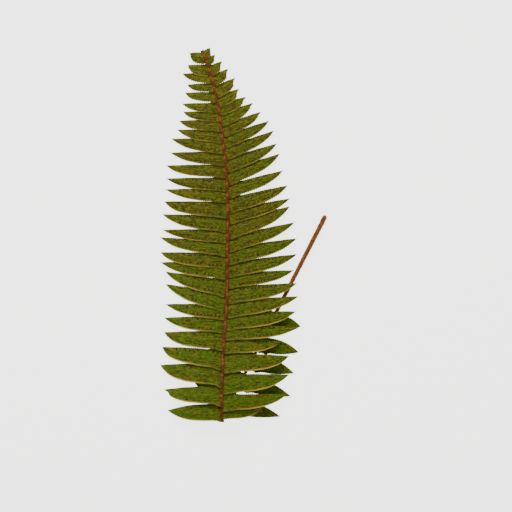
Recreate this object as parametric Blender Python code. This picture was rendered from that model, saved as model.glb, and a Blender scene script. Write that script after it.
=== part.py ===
"""A cut sword-fern frond, laid down underside up with its stem folded back beneath the blade.

Metres, +Z up. The frond lies on z = 0 and points its tip along +Y. Its origin is the middle of
its box, on the surface it lies on. It grew as one piece, so it is one object: the rachis (the
rib from the tip to the cut end) and the leaflets, which botanists call pinnae, joined by one
Boolean union.

The rachis runs from the tip down to the knee at the foot of the blade. There it turns sharply
under itself, and goes on as the bare stem, which lies along the surface to the right.
"""

import math

import bmesh
import bpy
import numpy as np
from mathutils import Vector

MM = 0.001

# Where the middle of the frond's box lies in the route's own coordinates, in mm
BOX_MIDDLE = (-1.17, -1.08, 0.0)

# The rachis, from its tip to the knee and on to the cut end, in mm: x, y and height
BLADE_ROUTE = (
    (-47.0, 206.5, 4.2),
    (-36.0, 172.0, 5.0),
    (-25.5, 112.0, 7.0),
    (-19.5, 45.0, 9.0),
    (-20.0, -25.0, 10.5),
    (-20.5, -80.0, 13.0),
    (-24.0, -130.0, 17.5),
    (-26.0, -175.0, 22.0),
    (-26.0, -198.0, 23.5),
)
KNEE_ROUTE = (
    (-25.6, -208.5, 20.0),
    (-24.4, -211.6, 12.6),
    (-22.4, -207.5, 5.4),
    (-17.0, -196.0, 2.4),
)
CUT_END = (92.6, 18.4)
STEM_KNOTS = 12

# The rachis's radius in mm at the tip, at the knee, and at the cut end
TIP_RADIUS = 0.55
KNEE_RADIUS = 1.7
CUT_RADIUS = 2.6
RACHIS_SIDES = 6
RACHIS_STEP = 6.0
KNEE_REACH = 16.0
KNEE_STEP = 2.0
ROUTE_SAMPLES = 1200

# Where each leaflet's tip lies, from the knee on towards the frond's tip, in mm: x, y, how far
# its straight edge rises on its way out in degrees, its greatest width, and how blunt it is (the
# power that its rounded edge falls off by)
LEFT_TIPS = (
    (-88.0, -204.1, -6, 17.2, 4), (-92.6, -178.2, -1.5, 21.0, 9), (-97.2, -150.6, 0, 24.7, 8),
    (-94.9, -129.9, 4.5, 20.5, 12), (-92.6, -113.3, 0, 20.1, 8), (-92.6, -96.6, 0, 17.2, 5),
    (-91.4, -81.1, 1.5, 16.1, 4), (-91.4, -58.1, 10, 19.0, 4), (-91.4, -44.3, 9.5, 16.1, 5),
    (-97.2, -33.3, 0, 18.4, 4), (-97.2, -21.8, 1.4, 16.8, 8), (-97.2, -4.6, 4.5, 15.5, 6),
    (-94.9, 4.0, 0, 14.5, 4), (-94.9, 21.8, 2.2, 16.9, 5), (-92.6, 36.8, 1.2, 17.2, 9),
    (-91.4, 50.6, 0, 14.7, 4), (-90.3, 63.2, 0, 14.3, 5), (-90.3, 78.2, 0, 14.0, 7),
    (-85.7, 93.1, 0, 14.7, 4), (-84.5, 109.2, 1.5, 15.6, 4), (-77.6, 119.6, 2, 13.8, 5),
    (-75.3, 129.9, 0, 12.4, 8), (-70.7, 140.3, 2, 10.8, 9), (-71.9, 149.5, 0, 10.6, 6),
    (-68.4, 162.1, 0, 11.0, 9), (-66.1, 171.3, -3, 9.7, 8), (-71.9, 182.8, 2, 11.0, 5),
    (-65.5, 193.2, 1, 10.3, 8), (-63.2, 207.6, -2, 11.0, 12),
)
RIGHT_TIPS = (
    (20.1, -201.2, -4, 13.8, 5), (48.9, -185.1, 0, 17.2, 5), (51.2, -162.1, 0, 20.5, 5),
    (51.2, -141.4, 0, 17.8, 7), (42.0, -124.2, -3, 16.1, 5), (62.7, -107.9, -2, 16.7, 4),
    (59.2, -89.7, 1.7, 18.4, 5), (62.7, -72.4, 4.3, 17.8, 4), (60.4, -57.5, 3.3, 17.8, 5),
    (56.9, -42.5, 3.3, 15.5, 5), (60.4, -24.1, 7.3, 16.1, 5), (60.4, -5.8, 8.3, 17.8, 5),
    (58.1, 12.6, 12.4, 16.7, 4), (52.3, 31.0, 14, 19.0, 5), (52.3, 40.2, 11.3, 14.9, 5),
    (50.0, 55.2, 12.7, 16.1, 5), (44.3, 72.4, 15, 14.4, 5), (40.8, 92.0, 19, 14.9, 5),
    (37.4, 103.5, 17, 14.9, 4), (33.9, 118.4, 20, 12.6, 5), (28.2, 129.9, 19.6, 12.4, 5),
    (19.0, 140.3, 20, 12.4, 5), (9.8, 150.6, 20, 13.0, 4), (1.7, 157.5, 16, 12.1, 5),
    (-6.3, 166.8, 20, 12.1, 6), (-10.9, 179.4, 24, 12.1, 6), (-19.0, 189.7, 23, 11.5, 6),
    (-25.9, 198.4, 22, 10.3, 6), (-33.9, 205.8, 22, 8.0, 6), (-39.7, 213.9, 28, 8.5, 9),
)

# The same on the right of the folded-back foot. Each has a like one across the stem.
FOOT_TIPS = (
    (40.8, -211.6, 0, 15.5, 3), (53.5, -188.0, -12, 17.2, 3), (56.9, -161.0, -6, 16.7, 3),
    (62.7, -138.0, 0, 16.1, 3), (65.0, -107.9, -10, 12.5, 3),
)

# How high a leaflet's tip lies, at fractions of the way from the knee (0) to the tip (1)
LEFT_TIP_HEIGHT = ((0, 7), (0.25, 5), (0.33, 1.0), (0.9, 1.0), (1, 3.2))
RIGHT_TIP_HEIGHT = ((0, 9), (0.35, 7.5), (0.55, 2), (0.9, 1), (1, 3.5))
FOOT_TIP_HEIGHT = 1.8
FRAME_REACH = 26.0
HALVINGS = 30

# One leaflet, as shares of its length or width
THICKNESS = 0.7
MIDRIB_RISE = 0.45
STALK_WIDTH = 7.0
BASE_SHARE = 0.04
EAR_SHARE = 0.32
EAR_PLACE = 0.13
EAR_REACH = 0.08
UPPER_SHARE = 0.48
BEND_POWER = 2.5
TIP_WIDTH = 0.9
TOOTH = 1.1
TOOTH_LEAN = 1.5
SHINGLE_TWIST = 10.0
ARCH = 0.05
DROP_POWER = 1.4
STATIONS_PER_MM = 1 / 6.2
FEWEST_STATIONS = 6
STATIONS_CROWD = 0.6

LEAF_COLOUR = (0.105, 0.110, 0.010, 1)
STEM_COLOUR = (0.300, 0.125, 0.030, 1)


def clear_scene():
    for obj in list(bpy.data.objects):
        bpy.data.objects.remove(obj, do_unlink=True)


def finish(name, colour, roughness):
    material = bpy.data.materials.new(name)
    material.use_nodes = True
    shader = material.node_tree.nodes["Principled BSDF"]
    shader.inputs["Base Color"].default_value = colour
    shader.inputs["Roughness"].default_value = roughness
    shader.inputs["Metallic"].default_value = 0.0
    return material


def along(profile, fraction):
    """The value of a profile there, on straight lines between its points."""
    places, values = zip(*profile)
    return float(np.interp(fraction, places, values))


def smooth_route(knots, step):
    """Points a step apart on the smooth curve through the knots.

    Each span is a cubic whose ends run along the chord between the neighbouring knots.
    """
    knots = np.array(knots, dtype=float)
    chord = np.r_[0, np.cumsum(np.linalg.norm(np.diff(knots, axis=0), axis=1))]
    slope = np.gradient(knots, chord, axis=0)
    fine = np.linspace(0, chord[-1], ROUTE_SAMPLES)
    span = np.clip(np.searchsorted(chord, fine, side="right") - 1, 0, len(knots) - 2)
    width = (chord[span + 1] - chord[span])[:, None]
    t = (fine - chord[span])[:, None] / width
    points = (
        (2 * t**3 - 3 * t**2 + 1) * knots[span]
        + (t**3 - 2 * t**2 + t) * width * slope[span]
        + (3 * t**2 - 2 * t**3) * knots[span + 1]
        + (t**3 - t**2) * width * slope[span + 1]
    )
    length = np.r_[0, np.cumsum(np.linalg.norm(np.diff(points, axis=0), axis=1))]
    stops = np.linspace(0, length[-1], round(length[-1] / step) + 1)
    return np.stack([np.interp(stops, length, points[:, k]) for k in range(3)], axis=1), stops


def flat_height(radius):
    """The height of the rachis's middle when its lowest flat lies on the surface."""
    return radius * math.cos(math.pi / RACHIS_SIDES)


def stem_knots():
    """The straight stem from the knee to its cut end, lying on its lowest flat."""
    start = np.array(KNEE_ROUTE[-1][:2])
    for share in np.linspace(0, 1, STEM_KNOTS + 1)[1:]:
        x, y = start + share * (np.array(CUT_END) - start)
        radius = KNEE_RADIUS + share * (CUT_RADIUS - KNEE_RADIUS)
        yield (x, y, flat_height(radius))


class Rachis:
    """The rib of the frond: its route, and its radius along it."""

    def __init__(self):
        whole = BLADE_ROUTE + KNEE_ROUTE + tuple(stem_knots())
        self.points, self.stops = smooth_route(whole, RACHIS_STEP / 4)
        self.tangents = np.gradient(self.points, self.stops, axis=0)
        self.tangents /= np.linalg.norm(self.tangents, axis=1)[:, None]
        self.knee = self.stops[np.argmin(self.points[:, 1])]
        self.length = self.stops[-1]

    def at(self, stop):
        """The point and the direction away from the tip, at this distance from the tip."""
        point = [np.interp(stop, self.stops, self.points[:, k]) for k in range(3)]
        tangent = [np.interp(stop, self.stops, self.tangents[:, k]) for k in range(3)]
        return np.array(point), np.array(tangent) / np.linalg.norm(tangent)

    def radius(self, stop):
        places = (0, self.knee, self.length)
        return float(np.interp(stop, places, (TIP_RADIUS, KNEE_RADIUS, CUT_RADIUS)))

    def ring_stops(self):
        """Where the rings of the tube stand: closer together round the knee."""
        even = np.arange(0, self.length, RACHIS_STEP)
        away = even[np.abs(even - self.knee) > KNEE_REACH]
        near_knee = self.knee + np.arange(KNEE_STEP - KNEE_REACH, KNEE_REACH, KNEE_STEP)
        return np.unique(np.r_[away, near_knee, self.length])

    def mesh(self):
        """A six-sided tube with filled ends, its flats level where it lies on the surface."""
        model = bmesh.new()
        rings = []
        for stop in self.ring_stops():
            centre, tangent = self.at(stop)
            side = np.cross(tangent, (0, 0, 1.0))
            side[2] = 0
            side /= np.linalg.norm(side)
            if stop < self.knee:
                side = -side
            up = np.cross(side, tangent)
            radius = self.radius(stop)
            ring = []
            for k in range(RACHIS_SIDES):
                turn = 2 * math.pi * (k + 0.5) / RACHIS_SIDES + math.pi / 2
                offset = radius * (math.cos(turn) * side + math.sin(turn) * up)
                place = centre + offset
                ring.append(model.verts.new((place[0], place[1], max(place[2], 0))))
            rings.append(ring)
        for here, there in zip(rings, rings[1:]):
            for k in range(RACHIS_SIDES):
                after = (k + 1) % RACHIS_SIDES
                model.faces.new((here[k], here[after], there[after], there[k]))
        model.faces.new(rings[0][::-1])
        model.faces.new(rings[-1])
        bmesh.ops.recalc_face_normals(model, faces=model.faces[:])
        return as_mesh(model, "rachis", 1)


def as_mesh(model, name, slot):
    """A finished mesh in metres with every face in this material slot."""
    for vertex in model.verts:
        vertex.co = (vertex.co - Vector(BOX_MIDDLE)) * MM
    for face in model.faces:
        face.material_index = slot
    mesh = bpy.data.meshes.new(name)
    model.to_mesh(mesh)
    model.free()
    return mesh


def base_growth(u):
    """How full the leaflet is near its stalk: 0 at the stalk, 1 past its base."""
    share = min(u / BASE_SHARE, 1)
    return share * share * (3 - 2 * share)


def half_widths(u, width, taper):
    """The leaflet's width above and below its midrib, at this share of its length.

    The upper edge is straight, because the midrib bends up to it by the same power.
    """
    stalk = STALK_WIDTH / 2
    ear = 1 + EAR_SHARE * math.exp(-(((u - EAR_PLACE) / EAR_REACH) ** 2))
    upper = width * UPPER_SHARE * ear * (1 - u**BEND_POWER)
    lower = width * (1 - UPPER_SHARE) * (1 - u**taper)
    grown = base_growth(u)
    return (
        max(stalk + grown * (upper - stalk), TIP_WIDTH / 2),
        max(stalk + grown * (lower - stalk), TIP_WIDTH / 2),
    )


def leaflet(name, frame, length, width, taper, tip_height, twist):
    """One leaflet: a thin arched blade with a raised midrib and a toothed edge.

    Its frame is its root and three unit vectors: along the leaflet, across it towards the
    frond's tip, and off its face. It sinks from its root until its tip is at tip_height.
    """
    root, outward, tipward, up = frame
    bend = width * UPPER_SHARE
    level_tip = root + length * outward + bend * tipward
    drop = (level_tip[2] - tip_height) / up[2]
    turn = math.radians(twist)
    across = math.cos(turn) * tipward - math.sin(turn) * up
    face_up = math.cos(turn) * up + math.sin(turn) * tipward
    stations = max(FEWEST_STATIONS, round(length * STATIONS_PER_MM))
    model = bmesh.new()
    top, bottom = [], []
    for j in range(stations):
        share = j / (stations - 1)
        u = share - STATIONS_CROWD * math.sin(2 * math.pi * share) / (2 * math.pi)
        middle = root + outward * length * u + tipward * bend * u**BEND_POWER
        middle = middle + up * (4 * ARCH * length * u * (1 - u) - drop * u**DROP_POWER)
        upper, lower = half_widths(u, width, taper)
        tooth = 0 if j in (0, stations - 1) else TOOTH * (0.5 if j % 2 else -0.5) * (1 - u / 2)
        forward = outward * max(tooth, 0) * TOOTH_LEAN
        edges = (
            middle - across * (lower + tooth) + forward,
            middle + face_up * MIDRIB_RISE,
            middle + across * (upper + tooth) + forward,
        )
        top.append([model.verts.new(e + face_up * THICKNESS / 2) for e in edges])
        flat = (edges[0], middle, edges[2])
        bottom.append([model.verts.new(e - face_up * THICKNESS / 2) for e in flat])
    for j in range(stations - 1):
        for k in range(2):
            quad = ((j, k), (j + 1, k), (j + 1, k + 1), (j, k + 1))
            for corners in ((0, 1, 2), (0, 2, 3)):
                model.faces.new([top[quad[c][0]][quad[c][1]] for c in corners])
                model.faces.new([bottom[quad[c][0]][quad[c][1]] for c in reversed(corners)])
        for k in (0, 2):
            model.faces.new((top[j][k], top[j + 1][k], bottom[j + 1][k], bottom[j][k]))
    for j in (0, -1):
        for k in range(2):
            model.faces.new((top[j][k], top[j][k + 1], bottom[j][k + 1], bottom[j][k]))
    bmesh.ops.recalc_face_normals(model, faces=model.faces[:])
    return as_mesh(model, name, 0)


def leaflet_frame(rachis, stop, level):
    """The root and the three directions of a leaflet that points this way, seen from above.

    Near the knee they follow the rachis a little way off, where it runs level again.
    """
    point = rachis.at(stop)[0]
    clear_of_knee = math.copysign(max(abs(stop - rachis.knee), FRAME_REACH), stop - rachis.knee)
    tipward = -rachis.at(rachis.knee + clear_of_knee)[1]
    up = np.array((0, 0, 1.0)) - tipward[2] * tipward
    up /= np.linalg.norm(up)
    outward = np.array((*level, -np.dot(level, up[:2]) / up[2]))
    outward /= np.linalg.norm(outward)
    onward = np.cross(up, outward)
    return point, outward, onward * np.sign(np.dot(onward, tipward)), up


def rooted(rachis, tip, level, width, low, high):
    """Where between two stops a leaflet with this tip grows, found by halving, and its length.

    The tip lies in line with the upper edge, so it is across from the root by as much as the
    midrib bends.
    """
    for _ in range(HALVINGS):
        stop = (low + high) / 2
        point, outward, onward, _ = leaflet_frame(rachis, stop, level)
        ways = np.column_stack((outward[:2], onward[:2]))
        length, across = np.linalg.solve(ways, np.array(tip) - point[:2])
        low, high = (low, stop) if across > width * UPPER_SHARE else (stop, high)
    return stop, length


def blade_leaflets(rachis):
    """The leaflets of the blade, left and right, from the knee to the tip."""
    for name, side, tips, heights in (
        ("left", -1, LEFT_TIPS, LEFT_TIP_HEIGHT),
        ("right", 1, RIGHT_TIPS, RIGHT_TIP_HEIGHT),
    ):
        for i, (x, y, rise, width, taper) in enumerate(tips):
            turn = math.radians(rise)
            level = np.array((side * math.cos(turn), math.sin(turn)))
            stop, length = rooted(rachis, (x, y), level, width, 0, rachis.knee)
            frame = leaflet_frame(rachis, stop, level)
            height = along(heights, 1 - stop / rachis.knee)
            yield leaflet(f"{name}_{i}", frame, length, width, taper, height, SHINGLE_TWIST)


def foot_leaflets(rachis):
    """The leaflets of the folded-back foot, which lie on the surface under the blade."""
    for i, (x, y, rise, width, taper) in enumerate(FOOT_TIPS):
        turn = math.radians(rise)
        level = np.array((math.cos(turn), math.sin(turn)))
        stop, length = rooted(rachis, (x, y), level, width, rachis.knee, rachis.length)
        stem = rachis.at(stop)[1][:2]
        mirrored = 2 * np.dot(level, stem) * stem / np.dot(stem, stem) - level
        for name, way in (("right", level), ("left", mirrored)):
            frame = leaflet_frame(rachis, stop, way)
            yield leaflet(f"foot_{name}_{i}", frame, length, width, taper, FOOT_TIP_HEIGHT, 0)


def join(body_mesh, leaflet_meshes, materials):
    """One object: the rachis with every leaflet joined to it by one Boolean union."""
    frond = bpy.data.objects.new("frond", body_mesh)
    bpy.context.scene.collection.objects.link(frond)
    leaflets = bpy.data.collections.new("leaflets")
    bpy.context.scene.collection.children.link(leaflets)
    for mesh in (body_mesh, *leaflet_meshes):
        for material in materials:
            mesh.materials.append(material)
    for mesh in leaflet_meshes:
        leaflets.objects.link(bpy.data.objects.new(mesh.name, mesh))
    union = frond.modifiers.new("union", "BOOLEAN")
    union.operation = "UNION"
    union.operand_type = "COLLECTION"
    union.collection = leaflets
    union.solver = "MANIFOLD"
    graph = bpy.context.evaluated_depsgraph_get()
    joined = bpy.data.meshes.new_from_object(frond.evaluated_get(graph))
    frond.modifiers.clear()
    frond.data = joined
    for obj in list(leaflets.objects):
        bpy.data.objects.remove(obj, do_unlink=True)
    bpy.data.collections.remove(leaflets)
    return frond


def main():
    clear_scene()
    rachis = Rachis()
    leaflets = [*blade_leaflets(rachis), *foot_leaflets(rachis)]
    materials = (finish("leaf green", LEAF_COLOUR, 0.55), finish("stem brown", STEM_COLOUR, 0.6))
    frond = join(rachis.mesh(), leaflets, materials)
    frond.data.name = "frond"


main()
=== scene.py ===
"""The looks of a cut sword-fern frond that lies underside up, its stem folded back beneath it.

Lengths inside the classes are millimetres in the route's own coordinates, as in the part's
source, and one function turns them into the frame's metres when a mesh is made. +Y runs along
the blade to its tip, and +Z off the surface, towards the side that carries the spore dots.
"""

from __future__ import annotations

import logging
import math
import random
from dataclasses import dataclass, field
from enum import Enum
from typing import Iterator, Optional

import bpy
import numpy as np
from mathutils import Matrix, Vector

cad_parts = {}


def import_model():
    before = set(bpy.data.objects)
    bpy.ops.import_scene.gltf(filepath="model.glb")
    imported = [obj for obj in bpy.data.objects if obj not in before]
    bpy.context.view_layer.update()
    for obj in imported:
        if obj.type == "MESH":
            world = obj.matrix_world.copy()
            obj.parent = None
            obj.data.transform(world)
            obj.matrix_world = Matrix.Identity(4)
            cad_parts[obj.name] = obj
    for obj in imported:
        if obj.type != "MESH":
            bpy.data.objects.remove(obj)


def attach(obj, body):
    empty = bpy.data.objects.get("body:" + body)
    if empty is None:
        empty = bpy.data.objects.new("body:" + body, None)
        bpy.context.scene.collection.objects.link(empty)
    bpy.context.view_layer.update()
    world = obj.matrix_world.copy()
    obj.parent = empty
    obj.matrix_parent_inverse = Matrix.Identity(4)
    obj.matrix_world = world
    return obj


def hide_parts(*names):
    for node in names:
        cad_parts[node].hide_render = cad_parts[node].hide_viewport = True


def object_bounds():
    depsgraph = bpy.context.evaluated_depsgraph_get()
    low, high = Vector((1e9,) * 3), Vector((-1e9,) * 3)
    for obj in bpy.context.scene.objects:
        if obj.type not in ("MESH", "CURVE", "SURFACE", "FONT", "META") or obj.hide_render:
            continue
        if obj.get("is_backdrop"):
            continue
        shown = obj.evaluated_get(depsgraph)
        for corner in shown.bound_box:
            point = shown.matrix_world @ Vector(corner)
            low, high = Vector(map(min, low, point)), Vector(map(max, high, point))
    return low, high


LOG = logging.getLogger("frond")
MM = 0.001
BODY = "root"
NODE = "frond"
BOX_MIDDLE = np.array((-1.17, -1.08, 0.0))
BOX_LOW = np.array((-96.08, -215.41, 0.02))
BOX_HIGH = np.array((96.08, 215.41, 27.6))

Profile = tuple[tuple[float, float], ...]

# Where each leaflet's tip lies, from the knee on towards the frond's tip, in mm: x, y, how far
# its straight edge rises on its way out in degrees, its greatest width, and how blunt it is (the
# power that its rounded edge falls off by)
LEFT_TIPS = (
    (-88.6, -203.6, -6, 17.8, 5), (-92.6, -178.2, -1.5, 21.0, 9), (-97.2, -150.6, 0, 24.7, 8),
    (-94.9, -129.9, 4.5, 20.5, 12), (-92.6, -113.3, 0, 20.1, 8), (-92.6, -96.6, 0, 17.2, 5),
    (-91.4, -81.1, 1.5, 16.1, 4), (-91.4, -58.1, 10, 19.0, 4), (-91.4, -44.0, 8.7, 17.8, 5),
    (-97.2, -33.3, 0, 18.4, 4), (-97.2, -21.8, 1.4, 16.8, 8), (-97.2, -4.6, 4.5, 15.5, 6),
    (-94.9, 4.0, 0, 14.5, 4), (-94.9, 21.8, 2.2, 16.9, 5), (-92.6, 36.8, 1.2, 17.2, 9),
    (-91.4, 50.6, 0, 14.7, 4), (-90.3, 63.2, 0, 14.3, 5), (-90.3, 78.2, 0, 14.0, 7),
    (-85.7, 93.1, 0, 14.7, 4), (-84.5, 109.2, 1.5, 15.6, 4), (-77.6, 119.6, 2, 13.8, 5),
    (-75.3, 129.9, 0, 12.4, 8), (-70.7, 140.3, 2, 10.8, 9), (-71.9, 149.5, 0, 10.6, 6),
    (-68.4, 162.1, 0, 11.0, 9), (-66.1, 171.3, -3, 9.7, 8), (-71.9, 184.2, 1, 10.6, 5),
    (-65.5, 194.0, 1, 10.9, 8), (-63.2, 207.6, -2, 11.0, 12),
)
RIGHT_TIPS = (
    (20.1, -201.2, -4, 13.8, 5), (48.9, -185.1, 0, 17.2, 5), (51.2, -162.1, 0, 20.5, 5),
    (51.2, -140.6, 0, 18.6, 7), (42.0, -124.2, -3, 16.1, 5), (62.7, -107.9, -2, 16.7, 4),
    (59.2, -89.7, 1.7, 18.4, 5), (62.7, -72.4, 4.3, 17.8, 4), (60.4, -57.5, 3.3, 17.8, 5),
    (56.9, -42.5, 3.3, 15.5, 5), (60.4, -24.1, 7.3, 16.1, 5), (60.4, -5.8, 8.3, 17.8, 5),
    (58.1, 12.6, 12.4, 16.7, 4), (52.3, 31.0, 14, 19.0, 5), (52.3, 40.2, 11.3, 14.9, 5),
    (50.0, 55.2, 12.7, 16.1, 5), (44.3, 72.4, 15, 14.4, 5), (40.8, 92.0, 19, 14.9, 5),
    (37.4, 103.5, 17, 14.9, 4), (33.9, 118.4, 20, 12.6, 5), (28.2, 129.9, 19.6, 12.4, 5),
    (19.0, 140.3, 20, 12.4, 5), (9.8, 150.6, 20, 13.0, 4), (1.7, 157.5, 16, 12.1, 5),
    (-6.3, 166.8, 20, 12.1, 6), (-10.9, 179.4, 24, 12.1, 6), (-19.0, 189.7, 23, 11.5, 6),
    (-25.9, 198.4, 22, 10.3, 6), (-33.9, 205.8, 22, 8.0, 6), (-39.7, 213.9, 28, 8.5, 9),
)

# The same on the right of the folded-back foot. Each has a like one across the stem.
FOOT_TIPS = (
    (41.2, -211.8, -5, 16.6, 3), (53.5, -188.6, -9, 16.6, 3), (57.2, -161.9, -6, 17.4, 3),
    (62.7, -137.6, -2, 16.8, 3), (65.0, -107.9, -5, 12.5, 3),
)


class Side(Enum):
    """Which side of the rachis a leaflet grows on, seen with the tip pointing up."""

    LEFT = -1
    RIGHT = 1


# Small tools for profiles, colours and meshes


def along(profile: Profile, fraction: float) -> float:
    """The value of a profile there, on straight lines between its points."""
    places, values = zip(*profile)
    return float(np.interp(fraction, places, values))


def linear(code: str) -> tuple[float, float, float, float]:
    """The linear colour of an sRGB hex code.

    Args:
        code: six hex digits, with or without a leading hash.

    Returns:
        Red, green, blue and an alpha of 1.
    """
    digits = code.lstrip("#")
    parts = [int(digits[k:k + 2], 16) / 255 for k in (0, 2, 4)]
    turned = [p / 12.92 if p <= 0.04045 else ((p + 0.055) / 1.055) ** 2.4 for p in parts]
    return (turned[0], turned[1], turned[2], 1.0)


def unit(vector: np.ndarray) -> np.ndarray:
    """The vector, or each row of an array of them, made one long."""
    return vector / np.linalg.norm(vector, axis=-1, keepdims=True)


def smoothstep(value: np.ndarray) -> np.ndarray:
    """Rises from 0 to 1 as the value does, level at both ends: 3x^2 - 2x^3."""
    held = np.clip(value, 0, 1)
    return held * held * (3 - 2 * held)


def quads(grid: np.ndarray, flipped: bool = False, ring: bool = False) -> np.ndarray:
    """The quads of a grid of vertex numbers, or of places on a map.

    Args:
        grid: numbers or places, rows by columns.
        flipped: whether the faces turn the other way.
        ring: whether the last column joins the first.

    Returns:
        An array of four corners a face.
    """
    if ring:
        grid = np.concatenate((grid, grid[:, :1]), axis=1)
    corners = (grid[:-1, :-1], grid[1:, :-1], grid[1:, 1:], grid[:-1, 1:])
    faces = np.stack(corners, axis=2).reshape(-1, 4, *grid.shape[2:])
    return faces[:, ::-1] if flipped else faces


@dataclass
class MeshParts:
    """Vertices, faces and attributes gathered from many like shapes, joined into one mesh."""

    points: list[np.ndarray] = field(default_factory=list)
    faces: list[np.ndarray] = field(default_factory=list)
    face_uv: list[np.ndarray] = field(default_factory=list)
    values: dict[str, list[np.ndarray]] = field(default_factory=dict)
    count: int = 0

    def add(
        self,
        points: np.ndarray,
        faces: list[np.ndarray],
        values: dict[str, np.ndarray],
        uv: Optional[list[np.ndarray]] = None,
    ) -> None:
        """Adds one shape.

        Args:
            points: its vertices in mm.
            faces: arrays of its faces, numbered from 0.
            values: an attribute's name to one number for each vertex.
            uv: for each array of faces, the places of its corners on the bake's map.
        """
        self.points.append(points)
        self.faces.extend(f + self.count for f in faces)
        if uv is not None:
            self.face_uv.extend(uv)
        for name, numbers in values.items():
            held = np.broadcast_to(np.asarray(numbers, dtype=float), (len(points),))
            self.values.setdefault(name, []).append(held)
        self.count += len(points)

    def build(self, name: str) -> bpy.types.Object:
        """One object in metres, held in the part's box, shaded smooth with its sharp edges."""
        points = np.clip(np.concatenate(self.points) - BOX_MIDDLE, BOX_LOW, BOX_HIGH) * MM
        sizes = np.concatenate([np.full(len(f), f.shape[1]) for f in self.faces])
        loops = np.concatenate([f.ravel() for f in self.faces])
        mesh = bpy.data.meshes.new(name)
        mesh.vertices.add(len(points))
        mesh.vertices.foreach_set("co", points.ravel())
        mesh.loops.add(len(loops))
        mesh.loops.foreach_set("vertex_index", loops)
        mesh.polygons.add(len(sizes))
        mesh.polygons.foreach_set("loop_start", np.r_[0, np.cumsum(sizes)[:-1]])
        if self.face_uv:
            layer = mesh.uv_layers.new(name="OFBake")
            places = np.concatenate([uv.reshape(-1, 2) for uv in self.face_uv])
            layer.data.foreach_set("uv", places.ravel())
        mesh.update(calc_edges=True)
        mesh.validate()
        for key, numbers in self.values.items():
            layer = mesh.attributes.new(key, "FLOAT", "POINT")
            layer.data.foreach_set("value", np.concatenate(numbers))
        mesh.shade_smooth()
        mesh.set_sharp_from_angle(angle=math.radians(70))
        piece = bpy.data.objects.new(name, mesh)
        bpy.context.scene.collection.objects.link(piece)
        LOG.info("%s: %d faces", name, len(sizes))
        return piece


# The frond's form: the same rule as the part's


@dataclass(frozen=True)
class Route:
    """A smooth curve through knots, as points close together and their distances along it."""

    points: np.ndarray
    stops: np.ndarray
    tangents: np.ndarray

    @staticmethod
    def through(knots: np.ndarray, step: float, samples: int = 1200) -> "Route":
        """The curve whose spans are cubics that run along the neighbouring knots' chord.

        Args:
            knots: the points it passes through.
            step: the distance between the points that are kept.
            samples: how finely it is first worked out.

        Returns:
            The route.
        """
        chord = np.r_[0, np.cumsum(np.linalg.norm(np.diff(knots, axis=0), axis=1))]
        slope = np.gradient(knots, chord, axis=0)
        fine = np.linspace(0, chord[-1], samples)
        span = np.clip(np.searchsorted(chord, fine, side="right") - 1, 0, len(knots) - 2)
        width = (chord[span + 1] - chord[span])[:, None]
        t = (fine - chord[span])[:, None] / width
        points = (
            (2 * t**3 - 3 * t**2 + 1) * knots[span]
            + (t**3 - 2 * t**2 + t) * width * slope[span]
            + (3 * t**2 - 2 * t**3) * knots[span + 1]
            + (t**3 - t**2) * width * slope[span + 1]
        )
        length = np.r_[0, np.cumsum(np.linalg.norm(np.diff(points, axis=0), axis=1))]
        stops = np.linspace(0, length[-1], round(length[-1] / step) + 1)
        even = np.stack([np.interp(stops, length, points[:, k]) for k in range(3)], axis=1)
        return Route(even, stops, unit(np.gradient(even, stops, axis=0)))

    def at(self, stop: np.ndarray | float) -> tuple[np.ndarray, np.ndarray]:
        """The points and the unit tangents at these distances from the start."""
        point = [np.interp(stop, self.stops, self.points[:, k]) for k in range(3)]
        tangent = [np.interp(stop, self.stops, self.tangents[:, k]) for k in range(3)]
        return np.stack(point, axis=-1), unit(np.stack(tangent, axis=-1))


@dataclass(frozen=True)
class Rachis:
    """The rib of the frond, from its tip down to the knee and on to the cut end."""

    blade: tuple = (
        (-47.0, 206.5, 4.2),
        (-36.0, 172.0, 5.0),
        (-25.5, 112.0, 7.0),
        (-19.5, 45.0, 9.0),
        (-20.0, -25.0, 10.5),
        (-20.5, -80.0, 13.0),
        (-24.0, -130.0, 17.5),
        (-26.0, -175.0, 22.0),
        (-26.0, -198.0, 23.5),
    )
    knee_bend: tuple = (
        (-25.6, -208.5, 20.0),
        (-24.4, -211.6, 12.6),
        (-22.4, -207.5, 5.4),
        (-17.0, -196.0, 2.4),
    )
    cut_end: tuple = (92.6, 18.4)
    stem_knots: int = 12
    tip_radius: float = 0.55
    knee_radius: float = 1.7
    cut_radius: float = 2.6
    flat_sides: int = 6
    step: float = 1.5

    def route(self) -> Route:
        """The curve along the middle of the rib."""
        start = np.array(self.knee_bend[-1][:2])
        shares = np.linspace(0, 1, self.stem_knots + 1)[1:, None]
        places = start + shares * (np.array(self.cut_end) - start)
        radius = self.knee_radius + shares * (self.cut_radius - self.knee_radius)
        stem = np.hstack((places, radius * math.cos(math.pi / self.flat_sides)))
        return Route.through(np.vstack((self.blade, self.knee_bend, stem)), self.step)

    def radius(self, stop: np.ndarray | float, knee: float, length: float) -> np.ndarray:
        """The rib's radius at these distances from the tip."""
        values = (self.tip_radius, self.knee_radius, self.cut_radius)
        return np.interp(stop, (0, knee, length), values)


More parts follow.
